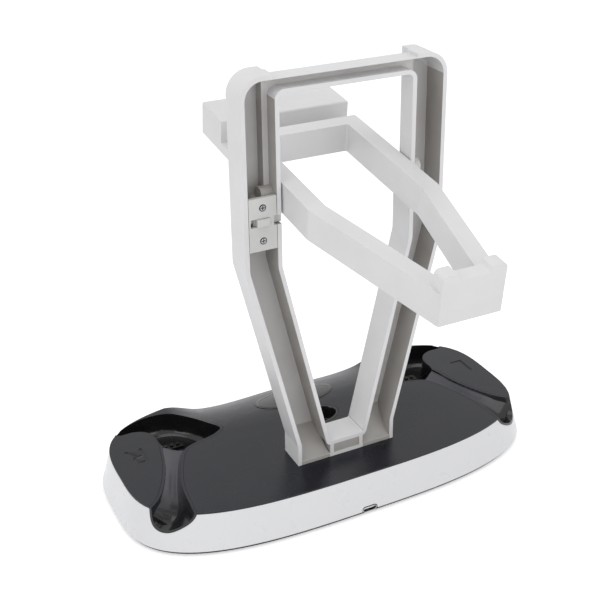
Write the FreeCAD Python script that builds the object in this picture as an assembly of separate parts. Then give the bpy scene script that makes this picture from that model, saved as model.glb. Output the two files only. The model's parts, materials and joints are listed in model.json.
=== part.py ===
import FreeCAD
import Part
import math
import os

from FreeCAD import Vector

# Sizes are in millimetres. X runs along the base, Y from the inlet side to the front, Z up.
# While modelling, Y = 0 is the upright's middle plane. The export moves the origin under the
# middle of the whole product.

# Base outline in plan
BASE_HALF_WIDTH = 126.5
BASE_MIDDLE_Y = 27.0
REAR_HALF_DEPTH = 60.2
FRONT_HALF_DEPTH = 61.4
REAR_FULLNESS = 3.1
FRONT_FULLNESS = 3.7
OUTLINE_POINTS = 40

# Base heights and walls
FOOT_PAD_HEIGHT = 1.2
FOOT_PAD_RADIUS = 7.0
PLATE_THICKNESS = 2.0
BASE_HEIGHT = 25.3
SKIRT_FLARE = 5.3
SKIRT_WALL = 2.4
SKIRT_BEVEL = 0.5
COVER_EDGE = 1.0
COVER_WALL = 2.4
PLATE_INSET = 1.3
BOSS_RADIUS = 3.6
FIT = 0.2

# Front apron, where the cover falls away between the two cradles
APRON_START_Y = 44.0
APRON_DROP = 10.2
APRON_FULL_X = 50.0
APRON_END_X = 84.0

# Cradles for the two hand controllers, right-hand side
BOWL_DEPTH = 14.0
BOWL_CENTRE = (84.0, 62.0)
CRADLE_WALL = 1.6
CRADLE_FIT = 0.15
TROUGH_DEPTH_IN = 6.0
TROUGH_DEPTH_OUT = 11.0

# Oval badge and oval well on the cover
BADGE_HALF_LENGTH = 26.5
BADGE_HALF_WIDTH = 14.0
BADGE_Y = 63.0
BADGE_DEPTH = 1.0
WELL_HALF_LENGTH = 15.5
WELL_HALF_WIDTH = 9.0
WELL_Y = 34.5
WELL_DEPTH = 8.0
WELL_WALL = 1.4

# Upright frame
UPRIGHT_DEPTH = 18.2
UPRIGHT_WALL = 2.4
WEB_THICKNESS = 2.1
COLUMN_HALF = 60.0
UPRIGHT_TOP = 260.8
OUTER_KNEE_Z = 155.3
FOOT_HALF = 31.5
FOOT_KNEE_Z = 38.5
CORNER_RADIUS = 12.5
WINDOW_HALF = 38.9
WINDOW_TOP = 250.4
WINDOW_KNEE_Z = 155.5
WINDOW_LOW_HALF = 10.8
WINDOW_BOTTOM = 35.8
BEAM_RECESS_HALF = 41.4
BEAM_RECESS = 1.9
TENON_HALF = 24.0
TENON_THICKNESS = 11.0
TENON_DROP = 17.0

# Seat in the upright's front face for the folded arm
SEAT_HALF = 42.4
SEAT_FLOOR_Y = 2.4
SEAT_WALL = 2.0

# Swing arm, measured in its own level frame from the hinge axis
HINGE_Z = 195.1
ARM_TILT = 7.0
ARM_HEIGHT = 17.0
ARM_BAR = 10.0
ARM_SIDE_GAP = 1.1
ARM_BEND_Y = -37.6
ARM_REAR_Y = -128.7
ARM_REAR_HALF = 17.1
ARM_FRONT_Y = 54.0
ARM_SHELL = 2.2
ARM_RIB_PITCH = 24.0
SLOT_WIDTH = 14.0
BRIDGE_THICKNESS = 5.8
REST_DEPTH = 28.2
REST_HALF = 40.4
REST_RISE = 2.7
LEDGE_START_Y = 3.4
HORN_RISE = 9.5
HORN_WIDTH = 8.0
SADDLE_RISE = 6.0
FOLD_ANGLE = 83.0

# Hinge pins
PIN_RADIUS = 1.6
PIN_CLEARANCE = 0.05
PIN_BOSS_RADIUS = 4.6
PIN_REACH_IN = 7.0
PIN_REACH_OUT = 9.0

# Latch in the left column
LATCH_TOP_Z = 197.0
LATCH_BOTTOM_Z = 167.2
LATCH_SCREW_OFFSET = 9.3
LATCH_COVER_THICKNESS = 2.2
LATCH_GAP = 0.25
LATCH_TRAVEL = 3.2
NUB_WIDTH = 7.0
NUB_HEIGHT = 4.2
NUB_RISE = 1.4
TONGUE_HEIGHT = 4.4
TONGUE_DEPTH = 3.7
SLIDER_THICKNESS = 3.6
SPRING_RADIUS = 1.5
SPRING_WIRE = 0.35

# Screws, board, inlet and contacts
SCREW_SHANK = 1.5
SCREW_HEAD = 2.8
SMALL_SHANK = 0.9
SMALL_HEAD = 1.75
SCREW_LENGTH = 11.0
BOARD_THICKNESS = 1.6
BOARD_HALF = 30.0
BOARD_POST_RADIUS = 2.2
INLET_WIDTH = 8.94
INLET_HEIGHT = 3.26
INLET_LENGTH = 7.35
INLET_SHELL = 0.3
CONTACT_RADIUS = 1.2
CONTACT_PITCH = 4.0

# Heights and planes that follow from the sizes above
REAR = -UPRIGHT_DEPTH / 2
FRONT = UPRIGHT_DEPTH / 2
SKIRT_BOTTOM = FOOT_PAD_HEIGHT + PLATE_THICKNESS
BEAM_TOP = UPRIGHT_TOP - BEAM_RECESS
ARM_HALF = WINDOW_HALF - ARM_SIDE_GAP
ARM_TOP = ARM_HEIGHT / 2
LATCH_MIDDLE_Z = (LATCH_TOP_Z + LATCH_BOTTOM_Z) / 2
CHANNEL_OUT = COLUMN_HALF - UPRIGHT_WALL
CHANNEL_IN = WINDOW_HALF + UPRIGHT_WALL
LATCH_X = -(CHANNEL_OUT + CHANNEL_IN) / 2
BOARD_Z = SKIRT_BOTTOM + INLET_HEIGHT - 1.2


def block(x0, x1, y0, y1, z0, z1):
    """A box between two corners."""
    return Part.makeBox(x1 - x0, y1 - y0, z1 - z0, Vector(x0, y0, z0))


def rod(x, y, z, radius, length, axis):
    """A cylinder that starts at a point and runs along an axis."""
    return Part.makeCylinder(radius, length, Vector(x, y, z), Vector(*axis))


def mirrored(shape):
    """The same shape on the other side of the middle plane."""
    return shape.mirror(Vector(0, 0, 0), Vector(1, 0, 0))


def fused(shapes):
    """One solid out of several that touch."""
    whole = shapes[0]
    for shape in shapes[1:]:
        whole = whole.fuse(shape)
    return whole.removeSplitter()


def both_sides(corners):
    """A closed list of corners from those of its right half, listed upwards."""
    return corners + [(-x, z, r) for x, z, r in reversed(corners)]


def offset_corners(corners, distance):
    """Corners of a counterclockwise outline moved inwards by a distance."""
    count = len(corners)
    moved = []
    for i in range(count):
        before, here, after = corners[i - 1], corners[i], corners[(i + 1) % count]
        u = Vector(here[0] - before[0], here[1] - before[1], 0).normalize()
        v = Vector(after[0] - here[0], after[1] - here[1], 0).normalize()
        turn = u.x * v.y - u.y * v.x
        along = distance * (1 - u.dot(v)) / turn
        x = here[0] - u.y * distance - u.x * along
        z = here[1] + u.x * distance - u.y * along
        radius = here[2] - distance if turn > 0 else here[2] + distance
        moved.append((x, z, max(radius, 0.0)))
    return moved


def rounded_edges(corners, place):
    """Lines and tangent arcs round an outline; place turns (x, z) into a point."""
    count = len(corners)
    bends = []
    for i in range(count):
        here = Vector(corners[i][0], corners[i][1], 0)
        before = Vector(corners[i - 1][0], corners[i - 1][1], 0)
        after = Vector(corners[(i + 1) % count][0], corners[(i + 1) % count][1], 0)
        radius = corners[i][2]
        u = (before - here).normalize()
        v = (after - here).normalize()
        half = u.getAngle(v) / 2
        if radius < 0.05:
            bends.append((here, None, here))
            continue
        reach = radius / math.tan(half)
        middle = (u + v).normalize()
        centre = here + middle * (radius / math.sin(half))
        bends.append((here + u * reach, centre - middle * radius, here + v * reach))
    edges = []
    for i in range(count):
        start, top, end = [place(p) if p is not None else None for p in bends[i]]
        nxt = place(bends[(i + 1) % count][0])
        if top is not None:
            edges.append(Part.Arc(start, top, end).toShape())
        if (nxt - end).Length > 1e-6:
            edges.append(Part.LineSegment(end, nxt).toShape())
    return edges


def upright_prism(corners, y0, y1):
    """An outline in the upright's plane, extruded from one depth to another."""
    edges = rounded_edges(corners, lambda p: Vector(p.x, y0, p.y))
    return Part.Face(Part.Wire(edges)).extrude(Vector(0, y1 - y0, 0))


def flat_prism(corners, z0, z1):
    """An outline in plan, extruded from one height to another."""
    edges = rounded_edges(corners, lambda p: Vector(p.x, p.y, z0))
    return Part.Face(Part.Wire(edges)).extrude(Vector(0, 0, z1 - z0))


def smooth_loop(points):
    """A smooth closed curve through points, as a wire."""
    curve = Part.BSplineCurve()
    curve.interpolate(Points=points, PeriodicFlag=True)
    return Part.Wire(curve.toShape())


def smooth_edge(points):
    """A smooth open curve through points, as an edge."""
    curve = Part.BSplineCurve()
    curve.interpolate(points)
    return curve.toShape()


def oval(half_length, half_width, y, z):
    """An ellipse in plan, longer along the base."""
    ellipse = Part.Ellipse(Vector(0, y, z), half_length, half_width)
    return Part.Wire(ellipse.toShape())


def oval_prism(half_length, half_width, y, z0, z1):
    """An upright oval column."""
    return Part.Face(oval(half_length, half_width, y, z0)).extrude(Vector(0, 0, z1 - z0))


def base_outline(grow, z):
    """The base's plan outline, fuller at the front than at the inlet side."""
    points = []
    for i in range(OUTLINE_POINTS):
        turn = 2 * math.pi * i / OUTLINE_POINTS
        c, s = math.cos(turn), math.sin(turn)
        depth, fullness = REAR_HALF_DEPTH, REAR_FULLNESS
        if s > 0:
            depth, fullness = FRONT_HALF_DEPTH, FRONT_FULLNESS
        x = math.copysign(abs(c) ** (2 / fullness), c) * (BASE_HALF_WIDTH + grow)
        y = math.copysign(abs(s) ** (2 / fullness), s) * (depth + grow)
        points.append(Vector(x, BASE_MIDDLE_Y + y, z))
    return smooth_loop(points)


def base_prism(grow, z0, z1):
    """The base's outline, extruded straight up."""
    return Part.Face(base_outline(grow, z0)).extrude(Vector(0, 0, z1 - z0))


def base_taper(grow_low, z0, grow_high, z1):
    """The base's outline, drawn in from one height to another."""
    low = base_outline(grow_low, z0)
    high = base_outline(grow_high, z1)
    return Part.makeLoft([low, high], True, True)


def apron_share(x):
    """How much of the apron's fall there is at a distance from the middle, 0 to 1."""
    t = (APRON_END_X - abs(x)) / (APRON_END_X - APRON_FULL_X)
    t = min(max(t, 0.0), 1.0)
    return t * t * (3 - 2 * t)


def above_apron(lift):
    """All that lies over the apron's surface, itself raised by lift."""
    edge_y = BASE_MIDDLE_Y + FRONT_HALF_DEPTH
    fall = APRON_DROP / (edge_y - APRON_START_Y) ** 2
    margin = 0.4
    sky = BASE_HEIGHT + 12
    far_y = edge_y + 8
    near_y = APRON_START_Y - 8
    step = (APRON_END_X - APRON_FULL_X) / 4
    stations = [APRON_FULL_X + step * i for i in range(5)] + [APRON_END_X + 12]
    stations = [-x for x in reversed(stations)] + [0.0] + stations
    wires = []
    for x in stations:
        share = apron_share(x)
        high = BASE_HEIGHT + lift + margin * (1 - share)
        points = [Vector(x, near_y, high)]
        count = 5
        for i in range(count + 1):
            y = APRON_START_Y + (far_y - APRON_START_Y) * i / count
            points.append(Vector(x, y, high - share * fall * (y - APRON_START_Y) ** 2))
        top_far = Vector(x, far_y, sky)
        top_near = Vector(x, near_y, sky)
        edges = [smooth_edge(points), Part.LineSegment(points[-1], top_far).toShape(),
                 Part.LineSegment(top_far, top_near).toShape(),
                 Part.LineSegment(top_near, points[0]).toShape()]
        wires.append(Part.Wire(edges))
    return Part.makeLoft(wires, True, False)


def under_cover(grow, lift, z0):
    """The base's inside up to the cover's surface moved by lift."""
    return base_prism(grow, z0, BASE_HEIGHT + lift).cut(above_apron(lift))


# Plan of the bowl, on the right-hand side, from the point nearest the upright
BOWL_PLAN = [(57.5, 47.5), (64.5, 43.8), (73, 41.8), (82, 40.2), (91, 42.0), (95.0, 49.0),
             (95.3, 58.0), (98.5, 65.0), (105, 68.2), (112, 68.4), (115.5, 70.4),
             (111.5, 74.0), (104, 77.6), (94, 80.0), (83, 79.2), (73, 74.2), (64.5, 64.8),
             (59.0, 55.0)]
BOWL_REACH = 27.0
# Height below the cover as a share of the bowl's depth, and width as a share of the plan
BOWL_LEVELS = [(-0.12, 1.012), (0.35, 0.975), (0.75, 0.90), (1.0, 0.72)]

# Stations along the trough: flat-side edge, lobe-side edge
TROUGH_STATIONS = [((74, 49), (91, 64)), ((82, 38.5), (95, 46)), ((89, 29), (98.2, 33)),
                   ((94.5, 16), (103, 19)), ((98.3, 1.5), (109.5, 6)),
                   ((99.6, -14), (116, -2.5)), ((100.5, -24), (123.5, -8)),
                   ((101, -36), (136, -17))]
TROUGH_FLOOR_AT = 0.6


def bowl_space(grow):
    """The bowl's hollow on the right, grown for its wall."""
    wires = []
    cx, cy = BOWL_CENTRE
    swell = 1 + grow / BOWL_REACH
    for depth_share, width_share in BOWL_LEVELS:
        z = BASE_HEIGHT - BOWL_DEPTH * depth_share
        if depth_share > 0:
            z -= grow
        scale = width_share * swell
        points = [Vector(cx + (x - cx) * scale, cy + (y - cy) * scale, z)
                  for x, y in BOWL_PLAN]
        wires.append(smooth_loop(points))
    return Part.makeLoft(wires, True, False)


def trough_section(station, share, grow):
    """One cross-section of the trough: a shallow flat side and a steep lobe side."""
    near = Vector(*station[0], 0)
    far = Vector(*station[1], 0)
    along = (far - near).normalize()
    near = near - along * grow
    width = (far + along * grow - near).Length
    depth = TROUGH_DEPTH_IN + (TROUGH_DEPTH_OUT - TROUGH_DEPTH_IN) * share + grow
    profile = [(0.0, -1.5 / depth), (0.04, 0.12), (0.32, 0.72), (TROUGH_FLOOR_AT, 1.0),
               (0.86, 0.82), (0.97, 0.2), (1.0, -1.5 / depth)]
    points = [near + along * (width * a) + Vector(0, 0, BASE_HEIGHT - depth * d)
              for a, d in profile]
    lid = Part.LineSegment(points[-1], points[0]).toShape()
    return Part.Wire([smooth_edge(points), lid])


def trough_space(grow):
    """The trough that runs from the bowl out over the base's rim."""
    last = len(TROUGH_STATIONS) - 1
    wires = [trough_section(s, i / last, grow) for i, s in enumerate(TROUGH_STATIONS)]
    return Part.makeLoft(wires, True, False)


def cradle_space(grow):
    """Bowl and trough together, on the right."""
    return bowl_space(grow).fuse(trough_space(grow))


def make_cradle():
    """The right cradle: one moulded glossy liner."""
    outer_wall = base_taper(SKIRT_FLARE, SKIRT_BOTTOM, 0, BASE_HEIGHT)
    housing = outer_wall.cut(above_apron(0))
    liner = cradle_space(CRADLE_WALL).cut(cradle_space(0))
    liner = liner.common(housing)
    return max(liner.Solids, key=lambda s: s.Volume)


def cradle_cutter():
    """What both cradles take out of the cover and the skirt."""
    right = cradle_space(CRADLE_WALL + CRADLE_FIT)
    return right, mirrored(right)


def boss_places():
    """Where the screws that hold the base plate go."""
    places = []
    for x, y in ((48, -22), (112, 30), (48, 72)):
        places.append((x, y))
        places.append((-x, y))
    return places


def tenon_space(fit):
    """The upright's tenon, grown by a fit."""
    half = TENON_HALF + fit
    side = TENON_THICKNESS / 2 + fit
    return block(-half, half, -side, side, BASE_HEIGHT - TENON_DROP - fit, BASE_HEIGHT + 1)


def tenon_post_places():
    """Where the screws go up into the tenon."""
    return [(-TENON_HALF * 0.6, 0.0), (TENON_HALF * 0.6, 0.0)]


def badge_seat():
    """The shallow oval seat that follows the apron."""
    seat = oval_prism(BADGE_HALF_LENGTH + FIT, BADGE_HALF_WIDTH + FIT, BADGE_Y, 5,
                      BASE_HEIGHT + 5)
    return seat.cut(under_cover(5, -BADGE_DEPTH, 0))


def make_covers():
    """The dark cover in three mouldings, parted by the cradles: middle, right and left.

    Each has a thin visible edge over the skirt, a skin inside it and screw bosses.
    """
    low = SKIRT_BOTTOM + 1
    inset = -(SKIRT_WALL + FIT)
    rim = under_cover(0, 0, low).cut(under_cover(1, -COVER_EDGE, low - 1))
    skin = under_cover(inset, -COVER_EDGE, low).cut(under_cover(inset + 1, -COVER_WALL, low - 1))
    cover = rim.fuse(skin)
    for x, y in boss_places():
        boss = rod(x, y, SKIRT_BOTTOM, BOSS_RADIUS, BASE_HEIGHT, (0, 0, 1))
        boss = boss.common(under_cover(inset, -COVER_EDGE, 0))
        cover = cover.fuse(boss.cut(rod(x, y, 0, SCREW_SHANK, SCREW_LENGTH + 3, (0, 0, 1))))
    for cutter in cradle_cutter():
        cover = cover.cut(cutter)
    cover = cover.cut(tenon_space(FIT))
    cover = cover.cut(badge_seat())
    cover = cover.cut(well_space(WELL_WALL + FIT))
    parts = sorted(cover.removeSplitter().Solids, key=lambda s: -s.Volume)[:3]
    left, right = sorted(parts[1:], key=lambda s: s.CenterOfMass.x)
    return parts[0], right, left


def well_space(grow):
    """The oval well's hollow, narrower towards its floor."""
    top = oval(WELL_HALF_LENGTH + grow, WELL_HALF_WIDTH + grow, WELL_Y, BASE_HEIGHT + 1)
    floor = oval(WELL_HALF_LENGTH * 0.8 + grow, WELL_HALF_WIDTH * 0.8 + grow, WELL_Y,
                 BASE_HEIGHT - WELL_DEPTH - grow)
    return Part.makeLoft([top, floor], True, True)


def make_port_well():
    """The oval well with the lead's outlet hole in its floor."""
    below = block(-40, 40, WELL_Y - 40, WELL_Y + 40, 0, BASE_HEIGHT)
    well = well_space(WELL_WALL).cut(well_space(0)).common(below)
    hole = rod(0, WELL_Y, 0, 3.0, BASE_HEIGHT, (0, 0, 1))
    return well.cut(hole)


def make_badge():
    """The plain oval inlay on the apron."""
    column = oval_prism(BADGE_HALF_LENGTH, BADGE_HALF_WIDTH, BADGE_Y, 5, BASE_HEIGHT + 5)
    column = column.cut(above_apron(0.3))
    inlay = column.common(block(-60, 60, 0, 120, 5, BASE_HEIGHT + 0.3))
    return inlay.cut(under_cover(5, FIT - BADGE_DEPTH, 0))


def make_skirt():
    """The pale outer wall of the base, lower at the front and notched for the troughs."""
    top = BASE_HEIGHT - COVER_EDGE
    outer = base_taper(SKIRT_FLARE, SKIRT_BOTTOM, 0, top)
    inner = base_taper(SKIRT_FLARE - SKIRT_WALL, SKIRT_BOTTOM - 0.01, -SKIRT_WALL, top + 0.01)
    skirt = outer.cut(inner).cut(above_apron(-COVER_EDGE))
    for cutter in cradle_cutter():
        skirt = skirt.cut(cutter)
    return skirt.cut(inlet_opening())


def inlet_front():
    """Depth of the skirt's face at the inlet, at the inlet's height."""
    share = (inlet_middle_z() - SKIRT_BOTTOM) / (BASE_HEIGHT - COVER_EDGE - SKIRT_BOTTOM)
    return BASE_MIDDLE_Y - REAR_HALF_DEPTH - SKIRT_FLARE * (1 - share)


def inlet_middle_z():
    """Height of the inlet's middle: it hangs under the board."""
    return BOARD_Z - INLET_HEIGHT / 2


def stadium(width, height, y, length):
    """A flat-sided round-ended bar along Y, centred on the inlet."""
    z = inlet_middle_z()
    r = height / 2
    corners = [(width / 2, z - r, r * 0.999), (width / 2, z + r, r * 0.999),
               (-width / 2, z + r, r * 0.999), (-width / 2, z - r, r * 0.999)]
    return upright_prism(corners, y, y + length)


def inlet_opening():
    """The mouth in the skirt and the plate for the plug."""
    return stadium(INLET_WIDTH + 1.2, INLET_HEIGHT + 1.2, inlet_front() - 4, 12)


def make_inlet():
    """The inlet's metal shell with its contact tongue."""
    y = inlet_front() + 0.4
    shell = stadium(INLET_WIDTH, INLET_HEIGHT, y, INLET_LENGTH)
    hollow = stadium(INLET_WIDTH - 2 * INLET_SHELL, INLET_HEIGHT - 2 * INLET_SHELL, y - 1,
                     INLET_LENGTH)
    z = inlet_middle_z()
    tongue = block(-3.3, 3.3, y + 1.2, y + INLET_LENGTH - 0.5, z - 0.35, z + 0.35)
    return fused([shell.cut(hollow), tongue])


def make_base_plate():
    """The bottom plate with a locating rim, posts for the tenon screws and screw holes."""
    grow = SKIRT_FLARE - PLATE_INSET
    plate = base_prism(grow, FOOT_PAD_HEIGHT, SKIRT_BOTTOM)
    rim_grow = SKIRT_FLARE - SKIRT_WALL - 1.0
    rim = base_prism(rim_grow, SKIRT_BOTTOM, SKIRT_BOTTOM + 2)
    rim = rim.cut(base_prism(rim_grow - 1.6, SKIRT_BOTTOM, SKIRT_BOTTOM + 2))
    plate = plate.fuse(rim)
    tenon_floor = BASE_HEIGHT - TENON_DROP
    for x, y in tenon_post_places():
        plate = plate.fuse(rod(x, y, SKIRT_BOTTOM, 4.4, tenon_floor - SKIRT_BOTTOM, (0, 0, 1)))
    for x, y in boss_places() + tenon_post_places():
        plate = plate.cut(rod(x, y, 0, SCREW_SHANK + 0.2, 40, (0, 0, 1)))
        plate = plate.cut(rod(x, y, 0, SCREW_HEAD + 0.3, FOOT_PAD_HEIGHT + 1.2, (0, 0, 1)))
    board_edge = inlet_front() + 2
    pocket = block(-INLET_WIDTH, INLET_WIDTH, inlet_front() - 4, board_edge + INLET_LENGTH,
                   SKIRT_BOTTOM, SKIRT_BOTTOM + 3)
    plate = plate.cut(pocket).cut(inlet_opening())
    for x, y in board_posts():
        plate = plate.fuse(rod(x, y, SKIRT_BOTTOM, BOARD_POST_RADIUS, BOARD_Z - SKIRT_BOTTOM,
                               (0, 0, 1)))
    return plate.removeSplitter()


def board_span():
    """Near and far edges of the board."""
    return inlet_front() + SKIRT_WALL + 1.2, -TENON_THICKNESS / 2 - 3


def board_posts():
    """Where posts of the base plate carry the board's corners."""
    y0, y1 = board_span()
    reach = BOARD_POST_RADIUS + 0.6
    return [(side * (BOARD_HALF - reach), y) for side in (-1, 1)
            for y in (y0 + 2 + reach, y1 - reach)]


def foot_places():
    """Where the rubber feet sit under the plate."""
    return [(x, y) for x in (-88.0, 0.0, 88.0) for y in (-20.0, 74.0)]


def make_foot_pads():
    """Rubber feet, each its own disc."""
    pads = []
    for x, y in foot_places():
        pad = rod(x, y, 0, FOOT_PAD_RADIUS, FOOT_PAD_HEIGHT, (0, 0, 1))
        pads.append(pad.makeChamfer(0.3, [e for e in pad.Edges if e.BoundBox.ZMax < 0.01]))
    return Part.makeCompound(pads)


def screw(x, y, z, shank, head, length):
    """A screw that points up, its head's face at height z."""
    head_height = head * 0.6
    body = rod(x, y, z, head, head_height, (0, 0, 1))
    body = body.fuse(rod(x, y, z + head_height, shank, length, (0, 0, 1)))
    slot = block(x - head * 0.7, x + head * 0.7, y - 0.3, y + 0.3, z - 1, z + head_height * 0.5)
    cross = block(x - 0.3, x + 0.3, y - head * 0.7, y + head * 0.7, z - 1, z + head_height * 0.5)
    return body.cut(slot).cut(cross).removeSplitter()


def make_base_screws():
    """The screws that hold plate, skirt and cover together."""
    z = FOOT_PAD_HEIGHT + 1.2 - SCREW_HEAD * 0.6
    return Part.makeCompound([screw(x, y, z, SCREW_SHANK - 0.05, SCREW_HEAD, SCREW_LENGTH)
                              for x, y in boss_places()])


def make_upright_screws():
    """The screws that hold the upright's tenon from below."""
    z = FOOT_PAD_HEIGHT + 1.2 - SCREW_HEAD * 0.6
    length = BASE_HEIGHT - TENON_DROP + 8 - z
    return Part.makeCompound([screw(x, y, z, SCREW_SHANK - 0.05, SCREW_HEAD, length)
                              for x, y in tenon_post_places()])


def make_board():
    """The charging board, over the inlet and clear of the tenon."""
    y0, y1 = board_span()
    board = block(-BOARD_HALF, BOARD_HALF, y0, y1, BOARD_Z, BOARD_Z + BOARD_THICKNESS)
    chips = [block(-22, -13, y0 + 8, y0 + 15, BOARD_Z + BOARD_THICKNESS,
                   BOARD_Z + BOARD_THICKNESS + 1.2),
             block(10, 22, y0 + 7, y0 + 14, BOARD_Z + BOARD_THICKNESS,
                   BOARD_Z + BOARD_THICKNESS + 2.4)]
    return fused([board] + chips)


def contact_floor():
    """Height of the flat that the contacts stand on, inside the bowl."""
    return BASE_HEIGHT - BOWL_DEPTH


def make_contacts():
    """The right cradle's charging contacts on their small carrier."""
    x, y = BOWL_CENTRE
    z = contact_floor()
    carrier = block(x - 7, x + 7, y - 3, y + 3, z + 0.05, z + 1.4)
    pins = [rod(x + CONTACT_PITCH * i, y, z + 1.4, CONTACT_RADIUS, 1.0, (0, 0, 1))
            for i in (-1, 0, 1)]
    return fused([carrier] + pins)


def outline_corners():
    """The upright's outer outline."""
    return both_sides([(FOOT_HALF, BASE_HEIGHT, 0), (FOOT_HALF, FOOT_KNEE_Z, 6),
                       (COLUMN_HALF, OUTER_KNEE_Z, 16),
                       (COLUMN_HALF, UPRIGHT_TOP, CORNER_RADIUS)])


def window_corners():
    """The upright's window: straight above, a V below."""
    return both_sides([(WINDOW_LOW_HALF, WINDOW_BOTTOM, 1.5), (WINDOW_HALF, WINDOW_KNEE_Z, 12),
                       (WINDOW_HALF, WINDOW_TOP, 3.0)])


def seat_sill_z():
    """Height of the sill that stops the arm from tipping forwards."""
    tilt = math.radians(ARM_TILT)
    lowest = LEDGE_START_Y * math.sin(tilt) - ARM_TOP * math.cos(tilt)
    return HINGE_Z + lowest - 0.3


def make_upright():
    """The moulded upright: a channel frame, open at the back, with the arm's seat in front."""
    whole = upright_prism(outline_corners(), REAR, FRONT)
    window = upright_prism(window_corners(), REAR - 1, FRONT + 1)
    web_y = FRONT - WEB_THICKNESS
    inside = upright_prism(offset_corners(outline_corners(), UPRIGHT_WALL), REAR - 1, web_y)
    lining = upright_prism(offset_corners(window_corners(), -UPRIGHT_WALL), REAR - 2, web_y + 1)
    frame = whole.cut(inside.cut(lining))
    sill = seat_sill_z()
    room = SEAT_HALF + SEAT_WALL
    seat_back = block(-room, room, SEAT_FLOOR_Y - SEAT_WALL, FRONT, sill - SEAT_WALL,
                      UPRIGHT_TOP)
    frame = frame.fuse(seat_back.common(whole))
    for x in (-WINDOW_LOW_HALF, WINDOW_LOW_HALF - UPRIGHT_WALL):
        frame = frame.fuse(block(x, x + UPRIGHT_WALL, REAR, web_y + 0.5, BASE_HEIGHT,
                                 WINDOW_BOTTOM))
    frame = frame.fuse(tenon_space(0).common(block(-99, 99, -50, 50, 0, BASE_HEIGHT)))
    for side in (-1, 1):
        x = side * WINDOW_HALF - (PIN_REACH_OUT if side < 0 else 0)
        frame = frame.fuse(rod(x, 0, HINGE_Z, PIN_BOSS_RADIUS, PIN_REACH_OUT, (1, 0, 0)))
    for z in latch_screw_heights():
        frame = frame.fuse(rod(LATCH_X, latch_inner_y(), z, 2.6, web_y - latch_inner_y(),
                               (0, 1, 0)))
    frame = frame.cut(window)
    frame = frame.cut(block(-SEAT_HALF, SEAT_HALF, SEAT_FLOOR_Y, FRONT + 1, sill,
                            UPRIGHT_TOP + 1))
    frame = frame.cut(block(-BEAM_RECESS_HALF, BEAM_RECESS_HALF, REAR - 1, FRONT + 1, BEAM_TOP,
                            UPRIGHT_TOP + 5))
    frame = frame.cut(rod(-70, 0, HINGE_Z, PIN_RADIUS, 140, (1, 0, 0)).common(
        block(-WINDOW_HALF - PIN_REACH_OUT + 1, WINDOW_HALF + PIN_REACH_OUT - 1, -9, 9, 0, 300)))
    for z in latch_screw_heights():
        frame = frame.cut(rod(LATCH_X, REAR, z, SMALL_SHANK, 10.0, (0, 1, 0)))
    frame = frame.cut(tongue_window())
    for x, y in tenon_post_places():
        frame = frame.cut(rod(x, y, 0, SCREW_SHANK, BASE_HEIGHT - TENON_DROP + 10, (0, 0, 1)))
    return frame.removeSplitter()


def arm_half_at(y):
    """Half the arm's outer width at a distance along it."""
    if y >= ARM_BEND_Y:
        return ARM_HALF
    share = (ARM_BEND_Y - y) / (ARM_BEND_Y - ARM_REAR_Y)
    return ARM_HALF - (ARM_HALF - ARM_REAR_HALF) * share


def arm_outline():
    """The arm's outer outline in plan, up to its front wall."""
    right = [(ARM_REAR_HALF, ARM_REAR_Y, 2.5), (ARM_HALF, ARM_BEND_Y, 10),
             (ARM_HALF, ARM_FRONT_Y, 1.5)]
    return right + [(-x, y, r) for x, y, r in reversed(right)]


def arm_window():
    """The arm's opening in plan."""
    lean = (ARM_HALF - ARM_REAR_HALF) / (ARM_BEND_Y - ARM_REAR_Y)
    rear_y = ARM_REAR_Y + ARM_BAR * 0.8
    right = [(arm_half_at(rear_y) - ARM_BAR, rear_y, 1.5),
             (ARM_HALF - ARM_BAR, ARM_BEND_Y + ARM_BAR * lean / 2, 8),
             (ARM_HALF - ARM_BAR, ARM_FRONT_Y - ARM_BAR, 1.5)]
    return right + [(-x, y, r) for x, y, r in reversed(right)]


def arm_rest_block():
    """The headset rest in front of the slot, the bridge under the slot, and its ledges."""
    slot_end = ARM_FRONT_Y + SLOT_WIDTH
    end = slot_end + REST_DEPTH
    rest = block(-REST_HALF, REST_HALF, slot_end, end, -ARM_TOP, ARM_TOP + REST_RISE)
    upper = [e for e in rest.Edges if e.BoundBox.ZMin > ARM_TOP + REST_RISE - 0.01]
    rest = rest.makeFillet(1.2, upper)
    bridge_top = BRIDGE_THICKNESS - ARM_TOP
    bridge = block(-REST_HALF, REST_HALF, ARM_FRONT_Y - ARM_BAR, slot_end, -ARM_TOP, bridge_top)
    ledges = []
    for side in (-1, 1):
        x0, x1 = sorted((side * (ARM_HALF - 1), side * REST_HALF))
        ledges.append(block(x0, x1, LEDGE_START_Y, slot_end, -ARM_TOP, bridge_top))
    hollow = block(-REST_HALF + ARM_SHELL, REST_HALF - ARM_SHELL, slot_end + ARM_SHELL,
                   end - ARM_SHELL, -ARM_TOP - 1, ARM_TOP + REST_RISE - ARM_SHELL)
    for i in (-1, 0, 1):
        x = i * REST_HALF / 2
        hollow = hollow.cut(block(x - 0.8, x + 0.8, 0, 200, -ARM_TOP, 50))
    return [rest.cut(hollow), bridge] + ledges


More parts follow.
